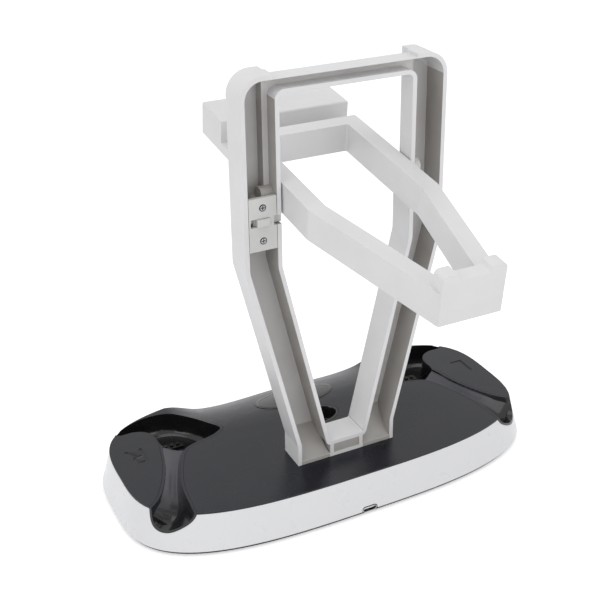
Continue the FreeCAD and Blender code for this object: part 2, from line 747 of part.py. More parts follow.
def arm_hollow():
    """The space inside the arm's bars, open below, with cross ribs and pin blocks left in."""
    outer = flat_prism(offset_corners(arm_outline(), ARM_SHELL), -ARM_TOP - 1,
                       ARM_TOP - ARM_SHELL)
    inner = flat_prism(offset_corners(arm_window(), -ARM_SHELL), -ARM_TOP - 2, ARM_TOP)
    hollow = outer.cut(inner)
    keep_y = ARM_REAR_Y + ARM_RIB_PITCH
    while keep_y < ARM_FRONT_Y - ARM_BAR:
        hollow = hollow.cut(block(-50, 50, keep_y - 0.8, keep_y + 0.8, -ARM_TOP, ARM_TOP))
        keep_y += ARM_RIB_PITCH
    pin_block = PIN_BOSS_RADIUS + 1.4
    return hollow.cut(block(-50, 50, -pin_block, pin_block, -ARM_TOP, ARM_TOP))


def arm_end_wall():
    """The rear end wall: two horns with a saddle between them."""
    wall_top = ARM_TOP + HORN_RISE
    y1 = ARM_REAR_Y + ARM_BAR * 0.8
    half = ARM_REAR_HALF
    inner = half - HORN_WIDTH
    low = ARM_TOP + SADDLE_RISE
    corners = [(half, -ARM_TOP, 0), (half, wall_top, 2.5), (inner, wall_top, 2.0),
               (inner - 1.5, low, 3.0), (-inner + 1.5, low, 3.0), (-inner, wall_top, 2.0),
               (-half, wall_top, 2.5), (-half, -ARM_TOP, 0)]
    wall = upright_prism(corners, ARM_REAR_Y, y1)
    return wall.common(block(-half, half, ARM_REAR_Y, y1, -ARM_TOP, wall_top))


def arm_to_place(shape):
    """The arm's own frame, tilted and lifted to the hinge."""
    shape = shape.copy()
    shape.rotate(Vector(0, 0, 0), Vector(1, 0, 0), ARM_TILT)
    shape.translate(Vector(0, 0, HINGE_Z))
    return shape


def make_arm():
    """The swing arm: a ring with a rear saddle, and a headset rest beyond a slot."""
    ring = flat_prism(arm_outline(), -ARM_TOP, ARM_TOP)
    ring = ring.cut(flat_prism(arm_window(), -ARM_TOP - 1, ARM_TOP + 1)).cut(arm_hollow())
    arm = fused([ring, arm_end_wall()] + arm_rest_block())
    bore = PIN_RADIUS + PIN_CLEARANCE
    depth = PIN_REACH_IN + 0.5
    for x in (-ARM_HALF, ARM_HALF - depth):
        arm = arm.cut(rod(x, 0, 0, bore, depth, (1, 0, 0)))
    return arm_to_place(arm)


def make_pin(side):
    """One hinge pin, held in the column's boss and running in the arm."""
    start = ARM_HALF - PIN_REACH_IN
    end = WINDOW_HALF + PIN_REACH_OUT - 1
    x = start if side > 0 else -end
    pin = rod(x, 0, HINGE_Z, PIN_RADIUS, end - start, (1, 0, 0))
    return pin.makeChamfer(0.4, [e for e in pin.Edges if e.Curve.TypeId == "Part::GeomCircle"])


def latch_inner_y():
    """Depth of the latch cover's inner face."""
    return REAR + LATCH_COVER_THICKNESS


def latch_screw_heights():
    """Heights of the latch cover's two screws."""
    return (LATCH_MIDDLE_Z - LATCH_SCREW_OFFSET, LATCH_MIDDLE_Z + LATCH_SCREW_OFFSET)


def tongue_middle_z():
    """Height of the tongue, close under the arm."""
    tilt = math.radians(ARM_TILT)
    under = HINGE_Z - ARM_TOP / math.cos(tilt) + tongue_y0() * math.tan(tilt)
    return under - 0.3 - TONGUE_HEIGHT / 2


def tongue_y0():
    """Rear face of the tongue and of the slider behind the cover."""
    return latch_inner_y() + LATCH_GAP


def tongue_window():
    """The notch in the column's inner wall that the tongue passes."""
    z = tongue_middle_z()
    half = TONGUE_HEIGHT / 2 + 0.4
    return block(-CHANNEL_IN - 0.5, -WINDOW_HALF + 0.5, REAR - 1, tongue_y0() + TONGUE_DEPTH + 0.4,
                 z - half, z + half)


def nub_span():
    """Left and right sides of the finger nub at rest."""
    right = LATCH_X + NUB_WIDTH / 2
    return right - NUB_WIDTH, right


def make_latch_cover():
    """The plate over the latch, with a slot for the nub, a gap for the tongue and two holes."""
    y1 = latch_inner_y()
    x0, x1 = -CHANNEL_OUT + LATCH_GAP, -CHANNEL_IN - LATCH_GAP
    cover = block(x0, x1, REAR, y1, LATCH_BOTTOM_Z, LATCH_TOP_Z)
    left, right = nub_span()
    z = tongue_middle_z()
    half = NUB_HEIGHT / 2 + 0.2
    cover = cover.cut(block(left - LATCH_TRAVEL - 0.2, right + 0.2, REAR - 1, y1 + 1,
                            z - half, z + half))
    gap = TONGUE_HEIGHT / 2 + 0.4
    cover = cover.cut(block(x1 - 1.6, x1 + 1, REAR - 1, y1 + 1, z - gap, z + gap))
    for height in latch_screw_heights():
        cover = cover.cut(rod(LATCH_X, REAR - 1, height, SMALL_SHANK + 0.2, 10, (0, 1, 0)))
        cover = cover.cut(rod(LATCH_X, REAR - 1, height, SMALL_HEAD + 0.2, 1.9, (0, 1, 0)))
    return cover.removeSplitter()


def make_latch_slider():
    """The sliding catch: body, finger nub through the cover and tongue under the arm."""
    y0 = tongue_y0()
    z = tongue_middle_z()
    left, right = nub_span()
    x0 = left - 1.0
    half = TONGUE_HEIGHT / 2
    body = block(x0, -CHANNEL_IN - 0.6, y0, y0 + SLIDER_THICKNESS, z - half - 1.2, z + half + 1.2)
    nub = block(left, right, REAR - NUB_RISE, y0 + 0.5, z - NUB_HEIGHT / 2, z + NUB_HEIGHT / 2)
    upright_edges = [e for e in nub.Edges if e.BoundBox.YMax < REAR - NUB_RISE + 0.01]
    nub = nub.makeFillet(0.5, upright_edges)
    tip = -ARM_HALF - 0.3
    tongue = block(-CHANNEL_IN - 1, tip, y0, y0 + TONGUE_DEPTH, z - half, z + half)
    return fused([body, nub, tongue])


def spring_room():
    """Left and right ends of the latch spring at rest."""
    left, right = nub_span()
    return -CHANNEL_OUT + 0.05, left - 1.05


def make_latch_spring():
    """The latch spring, as loose rings of wire on one axis."""
    x0, x1 = spring_room()
    turns = 4
    y = tongue_y0() + SLIDER_THICKNESS / 2
    helix = Part.makeHelix((x1 - x0 - 2 * SPRING_WIRE) / turns, x1 - x0 - 2 * SPRING_WIRE,
                           SPRING_RADIUS)
    profile = Part.Wire(Part.Circle(Vector(SPRING_RADIUS, 0, 0), Vector(0, 1, 0),
                                    SPRING_WIRE).toShape())
    spring = Part.Wire(helix).makePipeShell([profile], True, True)
    spring.rotate(Vector(0, 0, 0), Vector(0, 1, 0), 90)
    spring.translate(Vector(x0 + SPRING_WIRE, y, tongue_middle_z()))
    return spring


def make_latch_screws():
    """The latch cover's two small screws."""
    screws = []
    for z in latch_screw_heights():
        part = screw(0, 0, 0, SMALL_SHANK - 0.05, SMALL_HEAD, 7.0)
        part.rotate(Vector(0, 0, 0), Vector(1, 0, 0), -90)
        part.translate(Vector(LATCH_X, REAR - 0.15, z))
        screws.append(part)
    return Part.makeCompound(screws)


def sub_parts():
    """Every node's name and shape."""
    cradle = make_cradle()
    contacts = make_contacts()
    cover, cover_right, cover_left = make_covers()
    return {
        "foot_pads": make_foot_pads(),
        "base_plate": make_base_plate(),
        "base_screws": make_base_screws(),
        "upright_screws": make_upright_screws(),
        "skirt": make_skirt(),
        "top_cover": cover,
        "side_cover_right": cover_right,
        "side_cover_left": cover_left,
        "cradle_right": cradle,
        "cradle_left": mirrored(cradle),
        "contacts_right": contacts,
        "contacts_left": mirrored(contacts),
        "charging_board": make_board(),
        "inlet_socket": make_inlet(),
        "oval_badge": make_badge(),
        "port_well": make_port_well(),
        "upright_frame": make_upright(),
        "swing_arm": make_arm(),
        "hinge_pin_right": make_pin(1),
        "hinge_pin_left": make_pin(-1),
        "latch_cover": make_latch_cover(),
        "latch_slider": make_latch_slider(),
        "latch_spring": make_latch_spring(),
        "latch_screws": make_latch_screws(),
    }


def main():
    """Build every node, centre the product over the origin and write the files."""
    os.makedirs("parts", exist_ok=True)
    nodes = sub_parts()
    boxes = [nodes[name].optimalBoundingBox() for name in ("swing_arm", "skirt")]
    rear, front = min(b.YMin for b in boxes), max(b.YMax for b in boxes)
    shift = Vector(0, -(rear + front) / 2, 0)
    print("upright's middle plane at Y =", round(shift.y, 4))
    for name, shape in nodes.items():
        shape = shape.copy()
        shape.translate(shift)
        solids = shape.Solids
        print(name, len(solids), "solid(s)", round(shape.Volume, 1), "mm3", shape.isValid())
        if len(solids) == 1:
            shape = solids[0]
        shape.exportStep(os.path.join("parts", name + ".step"))


main()
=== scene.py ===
"""Dressed model of a charging station for two hand controllers, with a folding headset arm."""

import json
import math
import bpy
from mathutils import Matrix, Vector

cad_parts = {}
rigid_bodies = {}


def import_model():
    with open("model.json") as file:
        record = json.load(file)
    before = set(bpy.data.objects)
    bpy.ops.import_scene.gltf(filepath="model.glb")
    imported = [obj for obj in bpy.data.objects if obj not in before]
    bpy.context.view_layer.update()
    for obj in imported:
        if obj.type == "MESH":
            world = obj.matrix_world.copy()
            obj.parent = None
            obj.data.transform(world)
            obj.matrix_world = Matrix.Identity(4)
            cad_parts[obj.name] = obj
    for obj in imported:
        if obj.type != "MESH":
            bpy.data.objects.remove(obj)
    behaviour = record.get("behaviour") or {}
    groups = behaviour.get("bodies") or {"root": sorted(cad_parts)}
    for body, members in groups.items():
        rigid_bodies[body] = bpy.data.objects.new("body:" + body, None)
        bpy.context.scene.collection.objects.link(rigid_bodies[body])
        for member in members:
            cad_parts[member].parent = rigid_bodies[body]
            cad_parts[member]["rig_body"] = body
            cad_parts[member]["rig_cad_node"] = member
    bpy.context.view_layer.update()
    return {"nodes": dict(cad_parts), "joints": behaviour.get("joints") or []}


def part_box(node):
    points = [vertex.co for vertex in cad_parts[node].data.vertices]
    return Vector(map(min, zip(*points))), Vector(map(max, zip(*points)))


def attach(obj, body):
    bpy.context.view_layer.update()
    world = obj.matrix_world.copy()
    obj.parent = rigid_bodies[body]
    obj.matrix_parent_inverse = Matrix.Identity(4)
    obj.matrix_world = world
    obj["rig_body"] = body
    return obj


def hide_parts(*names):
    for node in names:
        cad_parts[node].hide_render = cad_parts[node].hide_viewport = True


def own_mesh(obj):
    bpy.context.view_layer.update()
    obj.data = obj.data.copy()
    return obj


bl_info = {
    "name": "Charging station dresser",
    "version": (1, 0, 0),
    "blender": (4, 5, 0),
    "location": "View3D > Sidebar > Station",
    "description": "Finishes, rounded mouldings and a studio for a controller charging station",
    "category": "Object",
}

from contextlib import contextmanager

import bpy
from bpy.props import FloatProperty, FloatVectorProperty, IntProperty, PointerProperty
from mathutils import Vector
from mathutils.bvhtree import BVHTree

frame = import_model()
NODES = frame["nodes"]
MM = 0.001
DOWN = Vector((0.0, 0.0, -1.0))


def corners(node):
    """Lowest and highest corner of a node's box at rest."""
    return tuple(Vector(corner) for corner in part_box(node))


# Places that the frame gives
UPRIGHT_LOW, UPRIGHT_HIGH = corners("upright_frame")
UPRIGHT_Y = (UPRIGHT_LOW.y + UPRIGHT_HIGH.y) / 2
COVER_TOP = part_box("top_cover")[1][2]

# Mesh work: how near two corners are merged, the weight of large faces in the shading, and the
# angles in degrees from which an edge is rounded and shaded sharp
WELD_DISTANCE = 0.000002
FACE_WEIGHT = 60
PLAIN_ANGLES = (30.0, 35.0)
CURVED_ANGLES = (50.0, 40.0)
COIL_ANGLE = 50.0

# The soft round lamps: name, place, the point each faces, width, and the setting for its power
LAMPS = (("key_lamp", (-0.25, -0.15, 1.25), (0.0, 0.03, 0.10), 1.3, "key_power"),
         ("side_lamp", (-1.15, -0.55, 0.55), (0.0, 0.03, 0.12), 0.9, "side_power"),
         ("fill_lamp", (0.55, -1.15, 0.50), (0.0, 0.03, 0.12), 1.0, "fill_power"))
SENSOR_WIDTH = 36.0
CAMERA_RANGE = (0.01, 60.0)
FLOOR_SIZE = 14.0
FLOOR_MIDDLE = (0.0, 3.0, 0.0)
WHITE = (1.0, 1.0, 1.0)
BLACK = (0.0, 0.0, 0.0)

# The channel behind the upright's front wall, whose inside is painted with shade: what stays
# pale at its top and at its rims, the reach and the start of the ray to a facing wall, the wall
# round the hinge pin, and the height of the ledge in the foot
CHANNEL_TOP = 12.5 * MM
CHANNEL_RIM = 0.8 * MM
CHANNEL_WIDTH = 30 * MM
RAY_START = 0.3 * MM
BOSS_WALL = 6 * MM
LEDGE_REACH = 4 * MM

# The swept ramps in the legs' feet: sides at the bottom and at the top, height at the web, height
# at the rear, how far they stand out at the rear, the web's thickness and the sweep's power
RAMP_FOOT = (10.7 * MM, 29.3 * MM)
RAMP_HEAD = (13.4 * MM, 30.6 * MM)
RAMP_RISE = 17 * MM
RAMP_LIP = 2.6 * MM
RAMP_PROUD = 0.12 * MM
WEB = 2.1 * MM
RAMP_SWEEP = 1.6

# The panel between the feet, and the cuts, edge radius and edge steps of all three blocks
PANEL_SIDES = (-8.6 * MM, 8.6 * MM)
PANEL_RISE = 8.3 * MM
PANEL_INSET = 0.35 * MM
FOOT_CUTS = 9
FOOT_EDGE = 0.3 * MM
FOOT_STEPS = 2

# The base's mouldings with their slots, and the steps in their edges and the cradles'
BASE_MOULDINGS = (("skirt", "shell_plastic"), ("top_cover", "cover_plastic"),
                  ("base_plate", "plate_plastic"), ("port_well", "liner_plastic"),
                  ("oval_badge", "badge_plastic"), ("cradle_left", "liner_plastic"),
                  ("cradle_right", "liner_plastic"), ("side_cover_left", "cover_plastic"),
                  ("side_cover_right", "cover_plastic"))
SHELL_STEPS = 1
LINER_STEPS = 3

# The band of each cradle's rim that is flush with the cover
RIM_BAND = 0.45 * MM

# The badge's border: its size as a share of the badge, the radius of its wire, the share of that
# radius by which it sinks in, and its segments round the badge and round the wire
BORDER_SHARE = 0.93
BORDER_WIRE = 0.22 * MM
BORDER_SINK = 0.3
BORDER_ROUND = 96
BORDER_SECTION = 8

# Stations along the right trough's floor, from the bowl to the rim: the floor's side by the
# flat cover, its side by the lobe, and its depth below the cover, in mm from the upright
TROUGH_FLOOR = (((81.4, 39.2), (94.6, 47.0), 3.4), ((82.6, 37.2), (95.2, 44.6), 3.9),
                ((89.0, 29.0), (98.2, 33.0), 4.3), ((94.5, 16.0), (103.0, 19.0), 4.9),
                ((98.3, 1.5), (109.5, 6.0), 5.9), ((99.4, -9.0), (114.0, 0.5), 7.6),
                ((99.9, -15.0), (117.0, -4.0), 10.2), ((100.3, -20.0), (120.0, -6.5), 14.0))
# Depth across the floor: share of the way to the lobe, share of the station's depth
FLOOR_PROFILE = ((0.0, 0.95), (0.16, 1.0), (0.34, 0.97), (0.6, 0.78), (0.82, 0.5), (1.0, 0.3))
FLOOR_ACROSS = 20
FLOOR_ALONG = 44
FLOOR_WALL = 2.2 * MM
FLOOR_EDGE = 0.5 * MM
FLOOR_STEPS = 3

# Satin, whose lighter colour is a painted sheen: where it starts and is full in the troughs, and
# where the bowl's polish starts and is full, from the upright's middle
SATIN_START, SATIN_FULL = -0.012, 0.016
BOWL_START, BOWL_FULL = 0.037, 0.040

# The side marks: a capital's height as a share of Blender's text size, the curves' steps, and
# the shares of the marks' depth between which a face belongs to the groove, whose matt black is
# painted shade
CAPITAL_SHARE = 0.70
LETTER_STEPS = 6
GROOVE_START, GROOVE_END = 0.2, 1.2
HOLE_SIDES = 12

# The latch's two screws: their middle, the cross recess, painted black as shade, and the black
# edge of each head
SCREWS_LOW, SCREWS_HIGH = corners("latch_screws")
SCREW_X = (SCREWS_LOW.x + SCREWS_HIGH.x) / 2
SCREW_MIDDLE_Z = (SCREWS_LOW.z + SCREWS_HIGH.z) / 2
SCREW_HALF_GAP = (SCREWS_HIGH.z - SCREWS_LOW.z - (SCREWS_HIGH.x - SCREWS_LOW.x)) / 2
CROSS_HALF_WIDTH = 0.28 * MM
CROSS_REACH = 1.15 * MM
HEAD_EDGE = 1.42 * MM

# How much of the room left to the spring it would fill when the catch is pushed back; worked
# out in the spring's step but not applied
SPRING_SLACK = 0.96


# Selection and mesh helpers


def pick(piece):
    """Select only this piece and make it active."""
    bpy.ops.object.select_all(action="DESELECT")
    piece.select_set(True)
    bpy.context.view_layer.objects.active = piece


@contextmanager
def editing(piece):
    """Edit mode on one piece, with all of it selected."""
    pick(piece)
    bpy.ops.object.mode_set(mode="EDIT")
    bpy.ops.mesh.select_all(action="SELECT")
    yield
    bpy.ops.object.mode_set(mode="OBJECT")


def face_outwards(piece):
    """Turn all of a piece's faces to the same, outer side."""
    with editing(piece):
        bpy.ops.mesh.normals_make_consistent(inside=False)


def apply_place(piece):
    """Move a piece's place into its mesh."""
    pick(piece)
    bpy.ops.object.transform_apply(location=True, rotation=True, scale=True)


def modify(piece, kind, **settings):
    """Add a modifier with settings and apply it."""
    pick(piece)
    modifier = piece.modifiers.new(kind.title(), kind)
    for name, value in settings.items():
        setattr(modifier, name, value)
    bpy.ops.object.modifier_apply(modifier=modifier.name)


def surface_tree(piece):
    """A piece's surface, ready for ray casts."""
    return BVHTree.FromPolygons([corner.co for corner in piece.data.vertices],
                                [tuple(face.vertices) for face in piece.data.polygons])


def welded_copy(node, name, flat_angle=0.03):
    """A copy of a node's mesh with doubles merged and, given an angle, flat faces made whole."""
    piece = NODES[node].copy()
    piece.data = NODES[node].data.copy()
    piece.name = piece.data.name = name
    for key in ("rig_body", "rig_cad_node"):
        if key in piece:
            del piece[key]
    piece.parent = None
    bpy.context.scene.collection.objects.link(piece)
    with editing(piece):
        bpy.ops.mesh.remove_doubles(threshold=WELD_DISTANCE)
        if flat_angle:
            bpy.ops.mesh.dissolve_limited(angle_limit=math.radians(flat_angle))
    return piece


def smoothed(piece, angle):
    """Shade a piece smooth where its faces meet below an angle, led by the large faces."""
    pick(piece)
    bpy.ops.object.shade_smooth_by_angle(angle=math.radians(angle))
    modify(piece, "WEIGHTED_NORMAL", keep_sharp=True, weight=FACE_WEIGHT)


def rounded(piece, radius, steps, angles=PLAIN_ANGLES):
    """Round a piece's sharp edges with true geometry and shade it smooth."""
    edge_angle, shade_angle = angles
    modify(piece, "BEVEL", width=radius, segments=steps, limit_method="ANGLE",
           angle_limit=math.radians(edge_angle), harden_normals=False, miter_outer="MITER_ARC",
           use_clamp_overlap=True)
    smoothed(piece, shade_angle)


def dress(piece, finish, body=None, node=None):
    """Give a piece its finish and, where they are named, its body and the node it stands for
   ."""
    piece.data.materials.clear()
    piece.data.materials.append(finish_of(finish))
    if body:
        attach(piece, body)
    if node:
        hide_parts(node)


def paint(piece, finish, test):
    """Give the faces whose centre and normal pass a test a finish of their own."""
    materials = piece.data.materials
    material = finish_of(finish)
    if material.name not in materials:
        materials.append(material)
    for face in piece.data.polygons:
        if test(face.center, face.normal):
            face.material_index = materials.find(material.name)


def between(stops, share):
    """Value at a share of the way along evenly spaced stops, on a smooth curve."""
    last = len(stops) - 1
    at = min(max(share, 0.0), 1.0) * last
    i = min(int(at), last - 1)
    a, b, c, d = (stops[min(max(k, 0), last)] for k in (i - 1, i, i + 1, i + 2))
    t = at - i
    return 0.5 * (2 * b + (c - a) * t + (2 * a - 5 * b + 4 * c - d) * t ** 2
                  + (3 * b - a - 3 * c + d) * t ** 3)


def along(profile, share):
    """Height of a profile of (place, height) points at a place, on straight lines."""
    for (x0, y0), (x1, y1) in zip(profile, profile[1:]):
        if share <= x1:
            return y0 + (y1 - y0) * (share - x0) / (x1 - x0)
    return profile[-1][1]


# Shader maths


class Socket:
    """A value inside a node graph; operators on it add maths nodes."""

    def __init__(self, graph, link):
        self.graph = graph
        self.link = link

    def maths(self, operation, *values):
        return self.graph.add("ShaderNodeMath", {"operation": operation}, *values)

    def __add__(self, other):
        return self.maths("ADD", self, other)

    def __sub__(self, other):
        return self.maths("SUBTRACT", self, other)

    def __rsub__(self, other):
        return self.maths("SUBTRACT", other, self)

    def __mul__(self, other):
        return self.maths("MULTIPLY", self, other)

    def __pow__(self, other):
        return self.maths("POWER", self, other)

    __radd__ = __add__
    __rmul__ = __mul__

    def sine(self):
        return self.maths("SINE", self)

    def size(self):
        return self.maths("ABSOLUTE", self)

    def least(self, other):
        return self.maths("MINIMUM", self, other)

    def most(self, other):
        return self.maths("MAXIMUM", self, other)

    def over(self, level):
        return self.maths("GREATER_THAN", self, level)

    def ramp(self, low, high):
        """0 below low, 1 above high, eased between them."""
        return self.graph.add("ShaderNodeMapRange", {"interpolation_type": "SMOOTHSTEP"},
                              self, low, high, 0.0, 1.0)


class Graph:
    """The shader nodes of a material or of the world."""

    def __init__(self, owner, output):
        owner.use_nodes = True
        self.tree = owner.node_tree
        self.tree.nodes.clear()
        self.surface = self.tree.nodes.new(output).inputs["Surface"]

    def put(self, socket, value):
        """Set a socket to a number, a colour or a link."""
        if isinstance(value, Socket):
            self.tree.links.new(value.link, socket)
        elif hasattr(value, "__len__") and len(value) == 3 and socket.type == "RGBA":
            socket.default_value = (*value, 1.0)
        else:
            socket.default_value = value

    def add(self, kind, settings, *values, output=0, **named):
        """Add a node of a kind: its settings first, then its sockets' values or links."""
        node = self.tree.nodes.new(kind)
        for name, value in settings.items():
            setattr(node, name, value)
        for socket, value in zip(node.inputs, values):
            if value is not None:
                self.put(socket, value)
        for name, value in named.items():
            self.put(node.inputs[name.replace("_", " ")], value)
        return Socket(self, node.outputs[output])

    def backdrop_rays(self):
        """1 for the rays that show the background: from the camera, reflected or let through."""
        camera, glossy, through = (self.add("ShaderNodeLightPath", {}, output=f"Is {kind} Ray")
                                   for kind in ("Camera", "Glossy", "Transmission"))
        return camera.most(glossy).most(through)


class Finish(Graph):
    """One procedural material under construction."""

    def __init__(self, name):
        self.material = bpy.data.materials.new(name)
        super().__init__(self.material, "ShaderNodeOutputMaterial")
        self.shader = self.add("ShaderNodeBsdfPrincipled", {})
        self.put(self.surface, self.shader)
        self.place = self.add("ShaderNodeTexCoord", {}, output="Object")

    def noise(self, scale, detail=3.0, rough=0.55):
        """Smooth noise round 0.5, in cycles per metre."""
        return self.add("ShaderNodeTexNoise", {}, Vector=self.place, Scale=scale, Detail=detail,
                        Roughness=rough)

    def cells(self, scale, feature="F1"):
        """Distance to the nearest of scattered points or, by its feature, to the cell's edge."""
        return self.add("ShaderNodeTexVoronoi", {"feature": feature}, Vector=self.place,
                        Scale=scale)

    def axes(self):
        """The three object coordinates, in metres."""
        node = self.add("ShaderNodeSeparateXYZ", {}, self.place).link.node
        return [Socket(self, out) for out in node.outputs]

    def mix(self, share, first, second):
        """Two colours mixed by a share."""
        node = self.add("ShaderNodeMix", {"data_type": "RGBA"}, share, output=2).link.node
        self.put(node.inputs[6], first)
        self.put(node.inputs[7], second)
        return Socket(self, node.outputs[2])

    def bump(self, height, depth, strength=1.0):
        """Normals from a height between 0 and 1, at a depth in metres."""
        return self.add("ShaderNodeBump", {}, Strength=strength, Distance=depth, Height=height)

    def done(self, **sockets):
        """Set the shader's sockets and hand over the material."""
        for name, value in sockets.items():
            self.put(self.shader.link.node.inputs[name.replace("_", " ")], value)
        return self.material


# Finishes

# Moulded plastics: colour, second shade, roughness, the grain's depth in metres, and where a
# plastic departs from the usual, the grain's scale, a coat or the specular level
PLASTICS = {
    "pale_plastic": ((0.700, 0.697, 0.700), (0.680, 0.675, 0.674), 0.42, 0.000035, {}),
    # The next two are the pale plastic darkened as painted shade for the inside of the upright's
    # channel, the web lighter than the walls
    "channel_plastic": ((0.400, 0.384, 0.366), (0.340, 0.324, 0.306), 0.44, 0.000030, {}),
    "web_plastic": ((0.620, 0.607, 0.592), (0.560, 0.546, 0.530), 0.44, 0.000030, {}),
    "shell_plastic": ((0.690, 0.692, 0.700), (0.685, 0.687, 0.694), 0.30, 0.000001,
                      {"grain_scale": 1500.0, "coat": 0.2}),
    "cover_plastic": ((0.0095, 0.0105, 0.0150), (0.0115, 0.0125, 0.0175), 0.30, 0.000022,
                      {"grain_scale": 3200.0, "specular": 0.34}),
    "plate_plastic": ((0.012, 0.012, 0.013), (0.016, 0.016, 0.017), 0.55, 0.000050, {}),
    "latch_plastic": ((0.600, 0.595, 0.580), (0.570, 0.565, 0.550), 0.36, 0.000020, {}),
}
POLISHED_BLACK = (0.0075, 0.0075, 0.0085)
# The unpolished black, made lighter as a painted sheen
SATIN_PAINTED_SHEEN = (0.055, 0.056, 0.066)


def moulded(name):
    """Moulded plastic: a fine spark-eroded grain, faint flow clouds and rubbed patches."""
    colour, shade, rough, grain_depth, special = PLASTICS[name]
    grain_scale = special.get("grain_scale", 2600.0)
    finish = Finish(name)
    clouds = finish.noise(38.0, 2.0)
    grain = finish.noise(grain_scale, 2.0, 0.6)
    pits = finish.cells(grain_scale * 0.7)
    rubbed = finish.noise(95.0, 4.0).ramp(0.52, 0.72)
    height = grain * 0.65 + pits * 0.35
    return finish.done(Base_Color=finish.mix(clouds.ramp(0.35, 0.7), colour, shade),
                       Roughness=rough + (grain - 0.5) * 0.06 - rubbed * 0.05,
                       Coat_Weight=special.get("coat", 0.0), Coat_Roughness=0.08,
                       Specular_IOR_Level=special.get("specular", 0.5),
                       Normal=finish.bump(height, grain_depth))


def gloss_black(name):
    """Polished black with a faint orange peel, haze and hairlines."""
    finish = Finish(name)
    peel = finish.noise(260.0, 1.0)
    haze = finish.noise(60.0, 4.0).ramp(0.45, 0.75)
    stretch = finish.add("ShaderNodeMapping", {}, finish.place, Scale=(900.0, 60.0, 200.0))
    hairs = finish.add("ShaderNodeTexNoise", {}, Vector=stretch, Scale=1.0, Detail=3.0)
    hairlines = hairs.ramp(0.62, 0.66)
    return finish.done(Base_Color=POLISHED_BLACK,
                       Roughness=0.05 + haze * 0.035 + hairlines * 0.03,
                       Normal=finish.bump(peel, 0.00002, 0.5))


def satin_black(name):
    """Satin in the trough, polished towards the rim and, on the cradle itself, in the bowl. Its
    lighter colour away from the polish is a painted sheen; its roughness is the finish's own.
    """
    finish = Finish(name)
    peel = finish.noise(300.0, 1.0)
    haze = finish.noise(70.0, 3.0)
    _, y, _ = finish.axes()
    satin_and_sheen = y.ramp(UPRIGHT_Y + SATIN_START, UPRIGHT_Y + SATIN_FULL)
    if name == "cradle_gloss":
        satin_and_sheen = satin_and_sheen * (1 - y.ramp(UPRIGHT_Y + BOWL_START, UPRIGHT_Y + BOWL_FULL))
    # Lighter colour where unpolished: painted sheen; the rougher surface is the finish's own
    return finish.done(Base_Color=finish.mix(satin_and_sheen, POLISHED_BLACK, SATIN_PAINTED_SHEEN),
                       Roughness=0.12 + satin_and_sheen * 0.20 + haze * 0.04,
                       Normal=finish.bump(peel, 0.00001, 0.5))


def screw_steel(name):
    """Bright countersunk heads, their cross recess painted black as shade, and a black edge round
    each.
    """
    finish = Finish(name)
    x, _, z = finish.axes()
    across = (x - SCREW_X).size()
    up = ((z - SCREW_MIDDLE_Z).size() - SCREW_HALF_GAP).size()
    reach = (across * across + up * up) ** 0.5
    # The cross recess is painted black as shade; the edge round each head is a black joint
    cross = (1 - across.least(up).over(CROSS_HALF_WIDTH)) * (1 - reach.over(CROSS_REACH))
    cross_shade_and_edge = cross.most(reach.over(HEAD_EDGE))
    stain = finish.noise(900.0, 4.0)
    return finish.done(Base_Color=finish.mix(cross_shade_and_edge, (0.42, 0.42, 0.43), (0.012, 0.012, 0.013)),
                       Metallic=1 - cross_shade_and_edge, Roughness=0.28 + stain * 0.12)


def foot_rubber(name):
    """Matt black rubber with a little dust."""
    finish = Finish(name)
    grain = finish.noise(4200.0, 3.0)
    dust = finish.noise(420.0, 4.0).ramp(0.5, 0.8)
    return finish.done(Base_Color=finish.mix(dust * 0.5, (0.02, 0.02, 0.02), (0.07, 0.068, 0.064)),
                       Roughness=0.72 + grain * 0.15, Normal=finish.bump(grain, 0.00005))


def steel(name):
    """Turned steel with faint stains."""
    finish = Finish(name)
    turned = finish.cells(5200.0)
    stain = finish.noise(900.0, 4.0)
    colour = finish.mix(stain.ramp(0.4, 0.7), (0.62, 0.62, 0.63), (0.50, 0.50, 0.50))
    return finish.done(Base_Color=colour, Metallic=1.0, Roughness=0.24 + stain * 0.16,
                       Normal=finish.bump(turned, 0.00001))


def contact_metal(name):
    """Dark plated metal of the charging contacts."""
    finish = Finish(name)
    stain = finish.noise(1300.0, 3.0)
    colour = finish.mix(stain, (0.030, 0.027, 0.024), (0.018, 0.017, 0.016))
    return finish.done(Base_Color=colour, Metallic=0.6, Roughness=0.22 + stain * 0.1)


def board_laminate(name):
    """Green laminate with a weave and etched tracks."""
    finish = Finish(name)
    weave_x, weave_y, _ = finish.axes()
    weave = (weave_x * 5200.0).sine() * (weave_y * 5200.0).sine()
    tracks = finish.cells(420.0, "DISTANCE_TO_EDGE").ramp(0.10, 0.14)
    colour = finish.mix(tracks, (0.05, 0.22, 0.11), (0.015, 0.11, 0.05))
    return finish.done(Base_Color=colour, Roughness=0.32 + weave * 0.04,
                       Normal=finish.bump(tracks, 0.00003))


# The finishes that aren't moulded plastic
MAKERS = {"liner_plastic": gloss_black, "badge_plastic": gloss_black,
          "cradle_gloss": satin_black, "trough_satin": satin_black, "screw_steel": screw_steel,
          "foot_rubber": foot_rubber, "steel": steel, "contact_metal": contact_metal,
          "board_laminate": board_laminate}
FINISHES = {}


def finish_of(name):
    """A material by its name, made once."""
    if name not in FINISHES:
        FINISHES[name] = MAKERS.get(name, moulded)(name)
    return FINISHES[name]


# Settings


